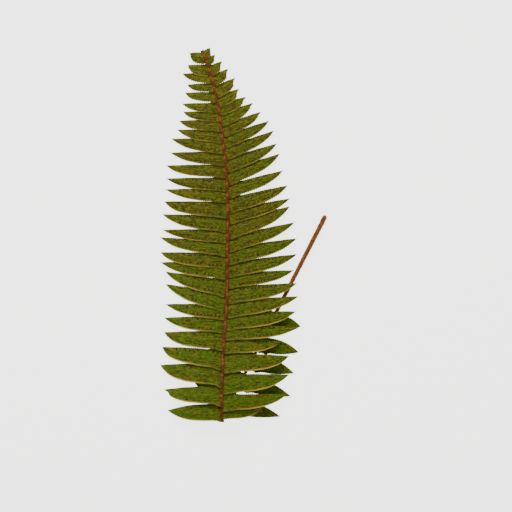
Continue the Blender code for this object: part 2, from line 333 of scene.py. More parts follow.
@dataclass
class Skeleton:
    """The rachis's route with the knee found on it, which every other class works from."""

    rachis: Rachis = field(default_factory=Rachis)
    frame_reach: float = 26.0
    halvings: int = 30

    def __post_init__(self) -> None:
        """Works out the route, its length, and how far along it the knee is."""
        self.route = self.rachis.route()
        self.length = float(self.route.stops[-1])
        self.knee = float(self.route.stops[np.argmin(self.route.points[:, 1])])

    def radius(self, stop: np.ndarray | float) -> np.ndarray:
        """The rib's radius at these distances from the tip."""
        return self.rachis.radius(stop, self.knee, self.length)

    def frame(self, stop: float, level: np.ndarray) -> tuple[np.ndarray, ...]:
        """Where a leaflet grows, and its directions.

        Args:
            stop: the distance of its root from the tip of the rachis.
            level: the way it points, seen from above.

        Returns:
            Its root, and unit vectors along it, across it to the tip, and off its face.
        """
        point = self.route.at(stop)[0]
        away = stop - self.knee
        clear = math.copysign(max(abs(away), self.frame_reach), away)
        tipward = -self.route.at(self.knee + clear)[1]
        up = unit(np.array((0, 0, 1.0)) - tipward[2] * tipward)
        outward = unit(np.array((*level, -np.dot(level, up[:2]) / up[2])))
        onward = np.cross(up, outward)
        return point, outward, onward * np.sign(np.dot(onward, tipward)), up

    def rooted(
        self, tip: np.ndarray, level: np.ndarray, across_most: float, low: float, high: float
    ) -> tuple[float, float]:
        """Where between two stops a leaflet with this tip grows, found by halving.

        Args:
            tip: where its tip lies, seen from above.
            level: the way it points.
            across_most: how far across from its root its tip lies, to the frond's tip.
            low: the stop nearest the frond's tip that it may grow at.
            high: the furthest one.

        Returns:
            The stop, and the leaflet's length.
        """
        for _ in range(self.halvings):
            stop = (low + high) / 2
            point, outward, onward, _ = self.frame(stop, level)
            ways = np.column_stack((outward[:2], onward[:2]))
            length, across = np.linalg.solve(ways, tip - point[:2])
            low, high = (low, stop) if across > across_most else (stop, high)
        return stop, float(length)


@dataclass(frozen=True)
class LeafletForm:
    """What every leaflet has in common, as shares of its length or width."""

    thickness: float = 0.42
    midrib_rise: float = 0.5
    stalk_width: float = 13.0
    stalk_share: float = 1.3
    lower_ear_share: float = 0.22
    lower_ear_reach: float = 0.14
    base_share: float = 0.12
    ear_share: float = 0.32
    ear_place: float = 0.13
    ear_reach: float = 0.08
    upper_share: float = 0.48
    bend_power: float = 2.5
    tip_width: float = 0.5
    spine_slope: float = 3.2
    spine_width: float = 1.3
    root_reach: float = 1.7
    root_share: float = 0.06
    arch: float = 0.05
    drop_power: float = 1.4
    tooth_pitch: float = 2.4
    tooth_height: float = 0.62
    rib_height: float = 0.38
    rib_width: float = 0.45
    wave_height: float = 0.45
    wave_length: float = 19.0
    usual_width: float = 20.0
    edge_power: int = 12
    tooth_lean: float = 0.9
    spine_point: float = 2.0


@dataclass(frozen=True)
class Leaflet:
    """One leaflet: where it grows, its size, and how it strays from the rule."""

    root: np.ndarray
    outward: np.ndarray
    tipward: np.ndarray
    up: np.ndarray
    length: float
    width: float
    taper: float
    tip_height: float
    twist: float
    place: float
    tone: float
    phase: float
    fill: float = 1.0
    bow: float = 0.0
    spine: float = 0.0


@dataclass
class LeafletRule:
    """Sets out the leaflets along the rachis from their tips, as the part's source does."""

    skeleton: Skeleton
    form: LeafletForm = field(default_factory=LeafletForm)
    left_tip_height: Profile = ((0, 7), (0.25, 5), (0.33, 1.0), (0.9, 1.0), (1, 3.2))
    right_tip_height: Profile = ((0, 9), (0.35, 7.5), (0.55, 2), (0.9, 1), (1, 3.5))
    foot_tip_height: float = 1.8
    twist: float = 10.0
    twist_stray: float = 1.6
    right_fill: Profile = ((0.0, 1.0), (0.6, 1.0), (0.8, 1.22), (1.0, 1.3))
    left_fill: Profile = (
        (0.0, 0.86), (0.025, 0.86), (0.04, 0.79), (0.11, 0.79), (0.15, 0.88), (0.2, 0.95),
        (0.85, 1.0), (0.93, 1.05), (0.955, 1.4), (1.0, 1.4),
    )
    left_bow: Profile = ((0.0, 3.6), (0.03, 3.6), (0.05, 1.6), (0.2, 0.9), (0.4, 0.5), (1.0, 0.4))
    right_bow: Profile = ((0.0, 0.6), (0.12, 0.6), (0.14, 1.6), (0.2, 1.6), (0.22, 0.6), (1.0, 0.4))
    foot_fill: float = 0.85
    foot_bow: float = 3.0
    left_spine: Profile = ((0.0, 0.0), (0.045, 0.0), (0.05, 5.0), (0.1, 5.0), (0.11, 0.0), (1.0, 0.0))
    right_spine: Profile = ((0.0, 0.0), (0.72, 0.0), (0.78, 4.5), (0.96, 4.5), (1.0, 2.0))
    seed: int = 28

    def blade(self, side: Side) -> Iterator[Leaflet]:
        """The leaflets on one side of the blade, from the knee to the tip."""
        own = random.Random(self.seed + side.value)
        left = side is Side.LEFT
        heights = self.left_tip_height if left else self.right_tip_height
        fills = self.left_fill if left else self.right_fill
        spines = self.left_spine if left else self.right_spine
        bows = self.left_bow if left else self.right_bow
        for x, y, rise, width, power in LEFT_TIPS if left else RIGHT_TIPS:
            turn = math.radians(rise)
            level = np.array((side.value * math.cos(turn), math.sin(turn)))
            across = width * self.form.upper_share
            stop, length = self.skeleton.rooted(
                np.array((x, y)), level, across, 0, self.skeleton.knee
            )
            place = 1 - stop / self.skeleton.knee
            yield Leaflet(
                *self.skeleton.frame(stop, level),
                length, width, power, along(heights, place),
                self.twist + own.uniform(-1, 1) * self.twist_stray,
                place, own.random(), own.uniform(0, math.tau),
                along(fills, place), along(bows, place), along(spines, place),
            )

    def foot(self) -> Iterator[Leaflet]:
        """The leaflets of the folded-back foot, which lie under the blade."""
        own = random.Random(self.seed + 2)
        skeleton = self.skeleton
        for x, y, rise, width, power in FOOT_TIPS:
            turn = math.radians(rise)
            level = np.array((math.cos(turn), math.sin(turn)))
            across = width * self.form.upper_share
            stop, length = skeleton.rooted(
                np.array((x, y)), level, across, skeleton.knee, skeleton.length
            )
            stem = unit(skeleton.route.at(stop)[1][:2])
            mirrored = 2 * np.dot(level, stem) * stem - level
            for way in (level, mirrored):
                yield Leaflet(
                    *skeleton.frame(stop, way),
                    length, width, power, self.foot_tip_height, 0.0,
                    0.0, own.random(), own.uniform(0, math.tau), self.foot_fill, self.foot_bow,
                )


@dataclass
class LeafletSurface:
    """The two faces of one leaflet as functions of u, along it, and v, across it."""

    leaflet: Leaflet
    form: LeafletForm = field(default_factory=LeafletForm)

    def __post_init__(self) -> None:
        """Works out the leaflet's own directions and how far its tip sinks."""
        leaf = self.leaflet
        turn = math.radians(leaf.twist)
        self.across = math.cos(turn) * leaf.tipward - math.sin(turn) * leaf.up
        self.face_up = math.cos(turn) * leaf.up + math.sin(turn) * leaf.tipward
        self.bend = leaf.width * self.form.upper_share
        level_tip = leaf.root + leaf.length * leaf.outward + self.bend * leaf.tipward
        self.drop = (level_tip[2] - leaf.tip_height) / leaf.up[2]

    def half_widths(self, u: np.ndarray) -> tuple[np.ndarray, np.ndarray]:
        """The leaflet's width above and below its midrib, with an ear on both near its base.

        Above, the width falls off as 1 - u^bend, and the midrib bends up by the same power, so
        the upper edge is straight but for the bow that is added to it. Below, it falls off as
        1 - u^taper, which rounds that edge, and is widened or narrowed by the leaflet's fill. A
        leaflet with a spine is squared off below it, and the spine narrows to the tip.
        """
        form, leaf = self.form, self.leaflet
        stalk = max(form.stalk_width, form.stalk_share * leaf.width) / 2
        ear = 1 + form.ear_share * np.exp(-(((u - form.ear_place) / form.ear_reach) ** 2))
        lower_ear = 1 + form.lower_ear_share * np.exp(-((u / form.lower_ear_reach) ** 2))
        upper = leaf.width * form.upper_share * ear * (1 - u**form.bend_power)
        lower = leaf.width * (1 - form.upper_share) * lower_ear * leaf.fill * (1 - u**leaf.taper)
        upper = upper + leaf.bow * np.sin(math.pi * u)
        if leaf.spine > 0:
            left = (1 - u) * leaf.length
            body = smoothstep((left - leaf.spine) / form.spine_slope + 0.5)
            lower = body * lower + (1 - body) * form.spine_width * np.clip(left / form.spine_point, 0, 1)
        grown = smoothstep(u / form.base_share)
        least = form.tip_width / 2
        return (
            np.maximum(stalk + grown * (upper - stalk), least),
            np.maximum(stalk + grown * (lower - stalk), least),
        )

    def offset(self, u: np.ndarray, v: np.ndarray) -> np.ndarray:
        """How far across the leaflet v is, in mm: positive towards the frond's tip."""
        upper, lower = self.half_widths(u)
        return np.where(v >= 0, v * upper, v * lower)

    def distance(self, u: np.ndarray) -> np.ndarray:
        """How far out from the middle of the rachis u is: the root reaches just past it."""
        past = self.form.root_reach * (1 - smoothstep(u / self.form.root_share))
        return u * self.leaflet.length - past

    def middle(self, u: np.ndarray) -> np.ndarray:
        """The line of the midrib: straight out, bent to the tip, arched up and drooping."""
        leaf, form = self.leaflet, self.form
        flat = leaf.root + leaf.outward * self.distance(u)[..., None]
        u = u[..., None]
        rise = 4 * form.arch * leaf.length * u * (1 - u) - self.drop * u**form.drop_power
        return flat + leaf.tipward * self.bend * u**form.bend_power + leaf.up * rise

    def height(self, u: np.ndarray, v: np.ndarray) -> np.ndarray:
        """How far the face stands off the flat leaflet: a low roof, a rib and a waved edge."""
        form, leaf = self.form, self.leaflet
        across = self.offset(u, v)
        roof = form.midrib_rise * (1 - np.abs(v)) ** 1.3
        rib = form.rib_height * np.exp(-((across / form.rib_width) ** 2)) * (1 - 0.75 * u)
        turn = math.tau * u * leaf.length / form.wave_length + leaf.phase
        wave = form.wave_height * np.sin(turn + 0.9 * np.sign(v)) * np.abs(v) ** 2
        return roof + rib + wave * smoothstep(u / 0.2) * (leaf.width / form.usual_width)

    def face(self, u: np.ndarray, v: np.ndarray, shift: np.ndarray | float = 0.0) -> np.ndarray:
        """Points on the upper face at u and v, with the edge's teeth pushed out by shift."""
        at_edge = np.abs(v) ** self.form.edge_power
        push = shift * np.sign(v) * at_edge
        ahead = self.form.tooth_lean * np.maximum(shift, 0) * at_edge
        return (
            self.middle(u)
            + self.across * (self.offset(u, v) + push)[..., None]
            + self.face_up * self.height(u, v)[..., None]
            + self.leaflet.outward * ahead[..., None]
        )

    def thickness(self, u: np.ndarray, v: np.ndarray) -> np.ndarray:
        """How thick the blade is: thinned to nothing at its edge, stalk and tip."""
        across = np.clip(1 - v**8, 0, 1) ** 0.5
        ends = np.clip(1 - (2 * u - 1) ** 40, 0, 1) ** 0.5
        rib = 1 + 1.2 * np.exp(-((self.offset(u, v) / self.form.rib_width) ** 2)) * (1 - u)
        return self.form.thickness * across * ends * rib


# How far a tooth stands out at each of its rows, and where the columns lie from edge to edge
TOOTH = np.array((0.0, 0.35, 0.85, 1.0, 0.2))
COLUMNS = np.array(
    (-1, -0.94, -0.8, -0.56, -0.3, -0.12, -0.04, 0, 0.04, 0.12, 0.3, 0.56, 0.8, 0.94, 1)
)


@dataclass
class LeafletRow:
    """A run of leaflets made into one mesh, with a map for baking and values for the finish."""

    name: str
    leaflets: list[Leaflet]
    form: LeafletForm = field(default_factory=LeafletForm)
    map_edge: float = 0.6

    def grid(self, leaf: Leaflet) -> tuple[np.ndarray, np.ndarray, np.ndarray]:
        """The rows u, columns v and the push of the teeth, a whole grid of each.

        A tooth takes five rows: it rises slowly and breaks off steeply towards the tip.
        """
        teeth = max(4, round(leaf.length / self.form.tooth_pitch))
        rows = teeth * len(TOOTH) + 1
        u = np.linspace(0, 1, rows)
        push = np.resize(TOOTH, rows) * self.form.tooth_height
        push *= smoothstep((u - 0.03) / 0.1) * np.sqrt(np.clip(1 - u, 0, 1)) * 1.3
        push[-1] = 0
        size = (rows, len(COLUMNS))
        return (
            np.broadcast_to(u[:, None], size),
            np.broadcast_to(COLUMNS, size),
            np.broadcast_to(push[:, None], size),
        )

    def add_leaflet(
        self, parts: MeshParts, leaf: Leaflet, low: float, high: float, wide: float
    ) -> None:
        """Adds one leaflet, its lower face joined to its upper face all round the edge.

        Args:
            parts: the mesh being gathered.
            leaf: the leaflet.
            low: where its band starts on the bake's map.
            high: where its band ends there.
            wide: the length that fills half the map's width, in mm.
        """
        surface = LeafletSurface(leaf, self.form)
        u, v, push = self.grid(leaf)
        upper = surface.face(u, v, push)
        lower = upper - surface.face_up * surface.thickness(u, v)[..., None]
        top = np.arange(u.size).reshape(u.shape)
        inner = (slice(1, -1), slice(1, -1))
        under = top.copy()
        under[inner] = u.size + np.arange(u[inner].size).reshape(u[inner].shape)
        points = np.concatenate((upper.reshape(-1, 3), lower[inner].reshape(-1, 3)))
        turned = np.dot(np.cross(leaf.outward, leaf.tipward), leaf.up) < 0
        faces = [quads(top, flipped=turned), quads(under, flipped=not turned)]
        across = u * leaf.length / wide * 0.48 + 0.01
        span = (high - low) * 0.5
        up_map = np.stack((across, low + span * (1 + self.spread(surface, u, v))), axis=-1)
        down_map = up_map + np.array((0.5, 0))
        maps = [quads(up_map, flipped=turned), quads(down_map, flipped=not turned)]
        offset = surface.offset(u, v)
        values = {
            "leaf_u": u,
            "leaf_s": surface.distance(u),
            "leaf_b": offset,
            "leaf_v": v,
            "leaf_l": np.full(u.shape, leaf.place),
            "leaf_t": np.full(u.shape, leaf.tone),
        }
        flat = {k: np.r_[a.ravel(), a[inner].ravel()] for k, a in values.items()}
        flat["leaf_face"] = np.r_[np.ones(u.size), np.zeros(u[inner].size)]
        parts.add(points, faces, flat, maps)

    def spread(self, surface: LeafletSurface, u: np.ndarray, v: np.ndarray) -> np.ndarray:
        """Where a point lies across its band on the map, from -1 to 1, just inside its edges."""
        most = surface.leaflet.width * self.map_edge * (1 + self.form.ear_share)
        return np.clip(surface.offset(u, v) / most, -0.98, 0.98)

    def build(self) -> bpy.types.Object:
        """The row as one object, each leaflet on a band of its own on the bake's map."""
        parts = MeshParts()
        widths = np.array([leaf.width for leaf in self.leaflets])
        edges = np.r_[0, np.cumsum(widths)] / widths.sum()
        wide = max(leaf.length for leaf in self.leaflets)
        for leaf, low, high in zip(self.leaflets, edges, edges[1:]):
            self.add_leaflet(parts, leaf, float(low), float(high), wide)
        return parts.build(self.name)


@dataclass
class SporeDots:
    """The domed spore clusters in two rows on each fertile leaflet."""

    name: str
    leaflets: list[Leaflet]
    form: LeafletForm = field(default_factory=LeafletForm)
    pitch: float = 4.6
    radius: float = 1.15
    rise: float = 0.42
    row_place: float = 0.6
    sides: int = 10
    profile: tuple = ((1.0, -0.25), (0.98, 0.35), (0.74, 0.92), (0.45, 1.0), (0.2, 0.72), (0.04, 0.6))
    usual_width: float = 19.0
    fertile: Profile = ((0, 0.0), (0.1, 0.12), (0.3, 0.9), (0.7, 0.8), (0.85, 0.3), (1, 0.0))
    seed: int = 5

    def centres(self, leaf: Leaflet, draw: random.Random) -> tuple[np.ndarray, np.ndarray]:
        """Where the dots lie on one leaflet, as its u and v: few near the frond's foot."""
        fill = along(self.fertile, leaf.place) * draw.choice((0.25, 0.6, 0.8, 1.0, 1.0))
        found: list[tuple[float, float]] = []
        reach = draw.uniform(0.66, 0.84)
        for sign in (-1, 1):
            stop = leaf.length * 0.07 + draw.uniform(0, self.pitch)
            while stop < leaf.length * reach:
                u = stop / leaf.length
                if draw.random() < fill:
                    found.append((u, sign * (self.row_place + draw.uniform(-0.05, 0.05))))
                stop += self.pitch * leaf.width / self.usual_width * draw.uniform(0.86, 1.14) + 0.4
        places = np.array(found).reshape(-1, 2)
        return places[:, 0], places[:, 1]

    def build(self) -> bpy.types.Object:
        """Every dot as a small dome with a dimple, set on its leaflet's face.

        A dome is a profile turned about the face's normal: radius and height by ring.
        """
        draw = random.Random(self.seed)
        parts = MeshParts()
        turns = np.arange(self.sides) * math.tau / self.sides
        rings = np.array(self.profile)
        index = np.arange(len(rings) * self.sides).reshape(len(rings), self.sides)
        for leaf in self.leaflets:
            u, v = self.centres(leaf, draw)
            surface = LeafletSurface(leaf, self.form)
            centres = surface.face(u, v)
            for centre in centres:
                broad = 0.55 + 0.45 * leaf.width / self.usual_width
                size = self.radius * draw.uniform(0.82, 1.12) * broad
                skew = 1 + 0.12 * np.sin(turns * 2 + draw.uniform(0, math.tau))
                around = rings[:, :1] * size * skew
                flat = (
                    leaf.outward * (around * np.cos(turns))[..., None]
                    + surface.across * (around * np.sin(turns))[..., None]
                )
                lift = rings[:, 1:] * self.rise + np.zeros(self.sides)
                points = centre + flat + surface.face_up * lift[..., None]
                faces = [quads(index, ring=True, flipped=True), index[-1:, ::-1], index[:1, :]]
                ring = np.repeat(rings[:, 0], self.sides)
                values = {"dot_r": ring, "dot_t": np.full(ring.shape, draw.random())}
                parts.add(points.reshape(-1, 3), faces, values)
        return parts.build(self.name)


@dataclass
class RachisSkin:
    """The rib's own surface: ridged along its length, swollen where leaflets join it."""

    skeleton: Skeleton
    leaflets: list[Leaflet]
    sides: int = 20
    step: float = 1.4
    ridges: int = 5
    ridge_height: float = 0.06
    joint_swell: float = 0.28
    joint_reach: float = 1.8
    end_bulge: float = 2.4
    stout: Profile = ((0, 1.5), (0.3, 1.3), (0.9, 1.1), (1.0, 0.95), (1.1, 0.97), (1.4, 1.08))
    seed: int = 9

    def frames(self, stops: np.ndarray) -> tuple[np.ndarray, np.ndarray, np.ndarray]:
        """The middle, the side and the up direction of each ring, level across the rib."""
        centre, tangent = self.skeleton.route.at(stops)
        side = np.cross(tangent, (0, 0, 1.0))
        side[:, 2] = 0
        side = unit(side) * np.where(stops < self.skeleton.knee, -1, 1)[:, None]
        return centre, side, unit(np.cross(side, tangent))

    def swell(self, stops: np.ndarray) -> np.ndarray:
        """How much thicker the rib is near each leaflet's root: one bump for each."""
        roots = np.array([leaf.root for leaf in self.leaflets])
        centre = self.skeleton.route.at(stops)[0]
        gap = np.linalg.norm(centre[:, None] - roots[None], axis=2).min(axis=1)
        return self.joint_swell * np.exp(-((gap / self.joint_reach) ** 2))

    def build(self) -> bpy.types.Object:
        """The rib as a tube whose radius is r (1 + ridges + swelling), with rounded ends."""
        length = self.skeleton.length
        ends = length + self.end_bulge * np.array((0.3, 0.55, 0.75, 0.9, 0.97))
        stops = np.r_[np.linspace(0, length, round(length / self.step)), ends]
        centre, side, up = self.frames(stops)
        centre += np.maximum(stops - length, 0)[:, None] * self.skeleton.route.tangents[-1]
        draw = np.random.default_rng(self.seed)
        wander = np.cumsum(draw.normal(0, 0.05, len(stops)))
        turns = (np.arange(self.sides) + 0.5) * math.tau / self.sides
        ridge = self.ridge_height * np.sin(self.ridges * turns[None] + wander[:, None])
        rough = 0.035 * draw.normal(0, 1, (len(stops), self.sides))
        share = stops / self.skeleton.knee
        thicker = np.interp(share, *zip(*self.stout))
        base = (self.skeleton.radius(stops) * thicker)[:, None]
        swell = self.swell(stops)[:, None]
        radius = base * (1 + ridge + rough + swell * 0.5)
        past = (stops - length) / self.end_bulge
        rounding = np.sqrt(np.clip(1 - np.clip(past, 0, 0.97) ** 2, 0, 1))
        rounding[0] = 0.4
        radius = radius * rounding[:, None]
        ring = (
            side[:, None] * (radius * np.cos(turns))[..., None]
            + up[:, None] * (radius * np.sin(turns))[..., None]
        )
        points = centre[:, None] + ring
        points[..., 2] = np.maximum(points[..., 2], 0.02)
        index = np.arange(points[..., 0].size).reshape(points.shape[:2])
        faces = [quads(index, ring=True), index[:1, :], index[-1:, ::-1]]
        along_mm = np.broadcast_to(stops[:, None], radius.shape).ravel()
        around = np.broadcast_to(turns / math.tau, radius.shape).ravel()
        joint = np.broadcast_to(swell / self.joint_swell, radius.shape).ravel()
        past_knee = smoothstep((along_mm - self.skeleton.knee) / 20)
        values = {"rib_s": along_mm, "rib_a": around, "rib_j": joint, "rib_k": past_knee}
        parts = MeshParts()
        parts.add(points.reshape(-1, 3), faces, values)
        return parts.build("rachis")


@dataclass
class Chaff:
    """The papery scales on the rib: broad and dense on the bare stem, fine and few above."""

    skin: RachisSkin
    stem_count: int = 420
    blade_count: int = 300
    rows: int = 6
    seed: int = 12

    def build(self) -> bpy.types.Object:
        """Each scale as a narrow pointed blade, lifted off the rib along its length.

        Its width is w sin(pi t^0.6), and it lifts off the rib as t^2.
        """
        draw = random.Random(self.seed)
        skeleton = self.skin.skeleton
        parts = MeshParts()
        t = np.linspace(0, 1, self.rows)[:, None]
        v = np.array((-1.0, 0.0, 1.0))[None]
        index = np.arange(self.rows * 3).reshape(self.rows, 3)
        for k in range(self.stem_count + self.blade_count):
            on_stem = k < self.stem_count
            if on_stem:
                stop = skeleton.knee + (skeleton.length - skeleton.knee) * draw.random()
            else:
                stop = skeleton.knee * draw.uniform(0.03, 1)
            bulk = 1.0 if on_stem else 0.5
            length = draw.uniform(1.8, 4.2) * bulk
            width = draw.uniform(0.3, 0.6) * bulk
            turn = draw.uniform(-0.25, 1.25) * math.pi if on_stem else draw.uniform(0, math.pi)
            lean = draw.uniform(-0.7, 0.7)
            centre, side, up = (a[0] for a in self.skin.frames(np.array((stop,))))
            tangent = -skeleton.route.at(stop)[1]
            out = math.cos(turn) * side + math.sin(turn) * up
            aside = unit(np.cross(out, tangent))
            ahead = unit(tangent + lean * aside)
            aside = unit(np.cross(out, ahead))
            root = centre + out * float(skeleton.radius(stop)) * 0.85
            lift = draw.uniform(0.12, 0.4) * length
            half = width * np.sin(math.pi * np.clip(t, 0.04, 0.97) ** 0.6)
            spine = root + ahead * length * t + out * lift * t**2
            top = spine[:, None] + aside * (half * v)[..., None]
            top = top + out * (0.12 * (1 - v**2))[..., None]
            top[..., 2] = np.maximum(top[..., 2], 0.05)
            under = top - out * 0.05
            points = np.concatenate((top.reshape(-1, 3), under.reshape(-1, 3)))
            back = index + index.size
            rim = np.concatenate((index[:, 0], index[-1, 1:], index[::-1, 2][1:], index[0, 1:2]))
            edge = np.stack((rim, np.roll(rim, -1)), axis=1)
            walls = np.concatenate((edge, edge[:, ::-1] + index.size), axis=1)
            faces = [quads(index), quads(back, flipped=True), walls[:, ::-1]]
            reach = np.tile(np.repeat(t[:, 0], 3), 2)
            parts.add(points, faces, {"chaff_t": draw.random(), "chaff_u": reach})
        return parts.build("chaff")


# The finishes


@dataclass
class Tree:
    """A material's node tree, with one way of adding a node."""

    material: bpy.types.Material

    @staticmethod
    def new(name: str) -> "Tree":
        """A tree holding only a Principled shader wired to the output."""
        material = bpy.data.materials.new(name)
        material.use_nodes = True
        return Tree(material)

    @property
    def shader(self) -> bpy.types.Node:
        """The material's Principled shader."""
        return self.material.node_tree.nodes["Principled BSDF"]

    def plug(self, socket: bpy.types.NodeSocket, value: object) -> None:
        """Links an output to an input, or sets it: a hex code is its colour, None leaves it."""
        if isinstance(value, bpy.types.NodeSocket):
            self.material.node_tree.links.new(value, socket)
        elif value is not None:
            socket.default_value = linear(value) if isinstance(value, str) else value

    def add(
        self, kind: str, *inputs: object, out: str = "", **settings: object
    ) -> bpy.types.NodeSocket:
        """Adds a node.

        Args:
            kind: the node's type name without its ShaderNode prefix.
            inputs: what goes into the inputs that it shows, in their order.
            out: the output that is wanted, or nothing for the first that it shows.
            settings: the node's own settings.

        Returns:
            The output.
        """
        node = self.material.node_tree.nodes.new(f"ShaderNode{kind}")
        for key, value in settings.items():
            setattr(node, key, value)
        shown = [socket for socket in node.inputs if socket.enabled]
        for socket, value in zip(shown, inputs):
            self.plug(socket, value)
        return next(s for s in node.outputs if s.enabled and out in ("", s.name))

    def lay(
        self, colour: object, other: object, value: object, low: float, high: float, most: float
    ) -> bpy.types.NodeSocket:
        """Lays another colour over one as a value passes from low to high.

        Args:
            colour: the colour beneath, an output or a hex code.
            other: the colour laid over it.
            value: the number that it follows.
            low: the number at which none of it shows.
            high: the number at which the most of it shows.
            most: how large a share that is.

        Returns:
            The mixed colour.
        """
        share = self.add("MapRange", value, low, high, 0.0, most)
        return self.add("Mix", share, colour, other, data_type="RGBA")

    def use(
        self, colour: object, roughness: object, height: object = None, depth: float = 0.0
    ) -> None:
        """Puts the colour, roughness and relief into the shader.

        Args:
            colour: the colour's output or hex code.
            roughness: the roughness's output or value.
            height: the relief's output, or None for none.
            depth: how deep the relief is, in metres.
        """
        self.plug(self.shader.inputs["Base Color"], colour)
        self.plug(self.shader.inputs["Roughness"], roughness)
        if height is not None:
            relief = self.add("Bump", 1.0, depth, None, height)
            self.plug(self.shader.inputs["Normal"], relief)


@dataclass(frozen=True)
class FernLamina:
    """Fresh fern leaflet, leathery: a dull skin over raised forked veins.

    The side that carries the spore dots is mottled, in short streaks along the leaflet, and the
    other side is darker and glossier. The foot of the frond is greener than its tip.
    """

    green: str = "#4a7614"
    olive: str = "#5e5e14"
    brown: str = "#6b5410"
    yellow: str = "#8c8e1c"
    straw: str = "#867e26"
    dark: str = "#323907"
    rust: str = "#76401a"
    rib: str = "#7d7a2a"
    bark: str = "#5a3510"
    joint: str = "#9c5722"
    # painted highlight: the pale tan line where light catches each leaflet's raised lower margin
    edge: str = "#dcb458"
    upper_side: str = "#33490f"
    vein_pitch_mm: float = 2.4
    vein_slant: float = 0.75
    vein_width: float = 0.128
    streak_mm: tuple = (7.0, 1.5)
    fleck_mm: tuple = (3.4, 1.15)
    speck_mm: tuple = (3.4, 2.2)
    tone_shift: float = 90.0
    roughness: float = 0.62
    gloss: float = 0.12

    def build(self) -> bpy.types.Material:
        """The material, from the leaflet's own along, across and place values."""
        tree = Tree.new("fern lamina")
        s, b, v, u, place, tone, front = (
            tree.add("Attribute", attribute_name=f"leaf_{key}", out="Fac")
            for key in ("s", "b", "v", "u", "l", "t", "face")
        )
        across = tree.add("Math", b, operation="ABSOLUTE")
        aside = tree.add("Math", v, operation="ABSOLUTE")
        own = tree.add("Math", tone, self.tone_shift, operation="MULTIPLY")
        local = tree.add("CombineXYZ", s, b, own)
        veins = self.veins(tree, s, across, aside)
        colour = self.ground(tree, local, place, tone)
        fleck, colour = self.mottling(tree, local, aside, colour)
        colour = tree.lay(colour, self.yellow, veins, 0, 1, 0.16)
        # painted highlight laid along the lower margin of each leaflet
        rim = self.edge_highlight_share(tree, v, place, u)
        colour = tree.add("Mix", rim, colour, self.edge, data_type="RGBA")
        near = tree.add("MapRange", across, 0.2, 0.7, 0.4, 0.0)
        inner = tree.add("MapRange", u, 0.3, 0.8, 1.0, 0.1)
        midrib = tree.add("Math", near, inner, operation="MULTIPLY")
        colour = tree.add("Mix", midrib, colour, self.rib, data_type="RGBA")
        narrower = tree.add("MapRange", place, 0.4, 0.9, 0.0, 0.8)
        narrowed = tree.add("Math", s, narrower, operation="ADD")
        colour = self.foot_of_leaflet(tree, local, narrowed, across, colour)
        glossy = tree.lay(self.upper_side, self.rib, veins, 0, 1, 0.3)
        colour = tree.add("Mix", front, glossy, colour, data_type="RGBA")
        rough = tree.add("MapRange", fleck, 0.3, 0.7, self.roughness - 0.07, self.roughness + 0.1)
        smoother = tree.add("MapRange", front, 0, 1, 0.14, 0.0)
        rough = tree.add("Math", rough, smoother, operation="SUBTRACT")
        raised = tree.add("Math", fleck, 0.8, operation="MULTIPLY")
        relief = tree.add("Math", veins, raised, operation="ADD")
        tree.plug(tree.shader.inputs["Specular IOR Level"], self.gloss)
        tree.use(colour, rough, relief, 0.0001)
        return tree.material

    def ground(
        self, tree: Tree, local: object, place: object, tone: object
    ) -> bpy.types.NodeSocket:
        """The colour in broad patches: greener near the frond's foot, browner here and there.

        Args:
            tree: the material's tree.
            local: the place on the leaflet in mm.
            place: how near the frond's tip the leaflet is.
            tone: the leaflet's own random share.

        Returns:
            The colour.
        """
        cloud = tree.add("TexNoise", local, 0.14, 3.0)
        greenness = tree.add("MapRange", place, 0.0, 0.55, 1.15, 0.22)
        for part in ((tone, 0, 1, -0.25, 0.25), (cloud, 0.35, 0.68, -0.35, 0.5)):
            more = tree.add("MapRange", *part)
            greenness = tree.add("Math", greenness, more, operation="ADD")
        colour = tree.lay(self.olive, self.green, greenness, 0, 1, 1.0)
        shifted = tree.add("Mapping", local, (31.0, 17.0, 5.0))
        bronze = tree.add("TexNoise", shifted, 0.12, 2.0)
        return tree.lay(colour, self.brown, bronze, 0.5, 0.72, 0.7)

    def foot_of_leaflet(
        self, tree: Tree, local: object, s: object, across: object, colour: object
    ) -> bpy.types.NodeSocket:
        """The red-brown band along the rachis, with an orange joint on the midrib.

        Args:
            tree: the material's tree.
            local: the place on the leaflet in mm.
            s: the distance along it.
            across: the distance from its midrib.
            colour: the leaflet's colour so far.

        Returns:
            The colour with the band laid over it.
        """
        ragged = tree.add("TexNoise", local, 0.5, 2.0)
        strayed = tree.add("MapRange", ragged, 0.3, 0.7, -0.9, 0.9)
        reach = tree.add("Math", s, strayed, operation="ADD")
        shade = tree.lay(self.rust, self.bark, ragged, 0.42, 0.58, 1.0)
        colour = tree.lay(colour, shade, reach, 2.5, 1.9, 0.9)
        along_it = tree.add("MapRange", reach, 2.6, 3.6, 0.9, 0.0)
        beside_it = tree.add("MapRange", across, 0.7, 1.6, 1.0, 0.0)
        joint = tree.add("Math", along_it, beside_it, operation="MULTIPLY")
        return tree.add("Mix", joint, colour, self.joint, data_type="RGBA")

